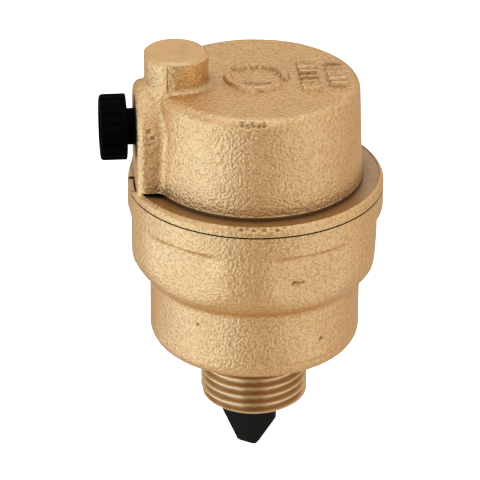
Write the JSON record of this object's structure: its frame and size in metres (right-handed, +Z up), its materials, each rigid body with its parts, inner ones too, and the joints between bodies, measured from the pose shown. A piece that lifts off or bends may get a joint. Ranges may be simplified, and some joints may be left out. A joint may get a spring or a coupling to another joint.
{
  "type": "automatic air vent",
  "caption": "Brass float-type automatic air vent with a male inlet thread below, a screwed dome cover and a black side discharge knob.",
  "frame": {"origin": "centre of the end face of the inlet thread, on the axis of the body", "axes": "+Z up along the axis of the body towards the cover; the discharge knob points along -X"},
  "size_m": [0.0545, 0.0492, 0.0862],
  "materials": {
    "forged_brass": "blasted hot forging with a fine grain",
    "turned_brass": "turned",
    "black_plastic": "moulded, matt",
    "float_plastic": "moulded, matt",
    "seal_rubber": "moulded",
    "stainless_steel": "bright"
  },
  "bodies": {
    "root": {"body": "forged_brass", "cover": "forged_brass", "cover_o_ring": "seal_rubber", "valve_seat": "turned_brass", "valve_seat_o_ring": "seal_rubber"},
    "float": {"float_cup": "float_plastic", "float_lid": "float_plastic", "float_tail": "black_plastic", "tail_pin": "stainless_steel", "valve_arm": "stainless_steel", "arm_rivet_1": "stainless_steel", "arm_rivet_2": "stainless_steel", "stem_spring": "stainless_steel"},
    "stem": {"obturator_stem": "turned_brass", "obturator_pad": "seal_rubber", "stem_clip": "stainless_steel"},
    "knob_carrier": {"knob_o_ring": "seal_rubber"},
    "knob": {"knob": "black_plastic", "knob_seal": "seal_rubber"}
  },
  "joints": [
    {"name": "float_slide", "type": "slide", "parent": "root", "child": "float", "axis": [0, 0, 1], "range_m": [0, 0.004]},
    {"name": "stem_play", "type": "slide", "parent": "float", "child": "stem", "axis": [0, 0, 1], "range_m": [-0.0004, 0], "stiffness_N_per_m": 150, "springref_m": 0.001, "deforming": ["stem_spring"]},
    {"name": "knob_advance", "type": "slide", "parent": "root", "child": "knob_carrier", "axis": [-1, 0, 0], "range_m": [-0.001, 0.0015]},
    {"name": "knob_turn", "type": "hinge", "parent": "knob_carrier", "child": "knob", "pos_m": [-0.02515, 0, 0.05875], "axis": [-1, 0, 0], "range_deg": [-360, 540]}
  ],
  "couplings": [
    {"joint": "knob_turn", "follows": "knob_advance", "rad_per_m": 6283.2}
  ]
}
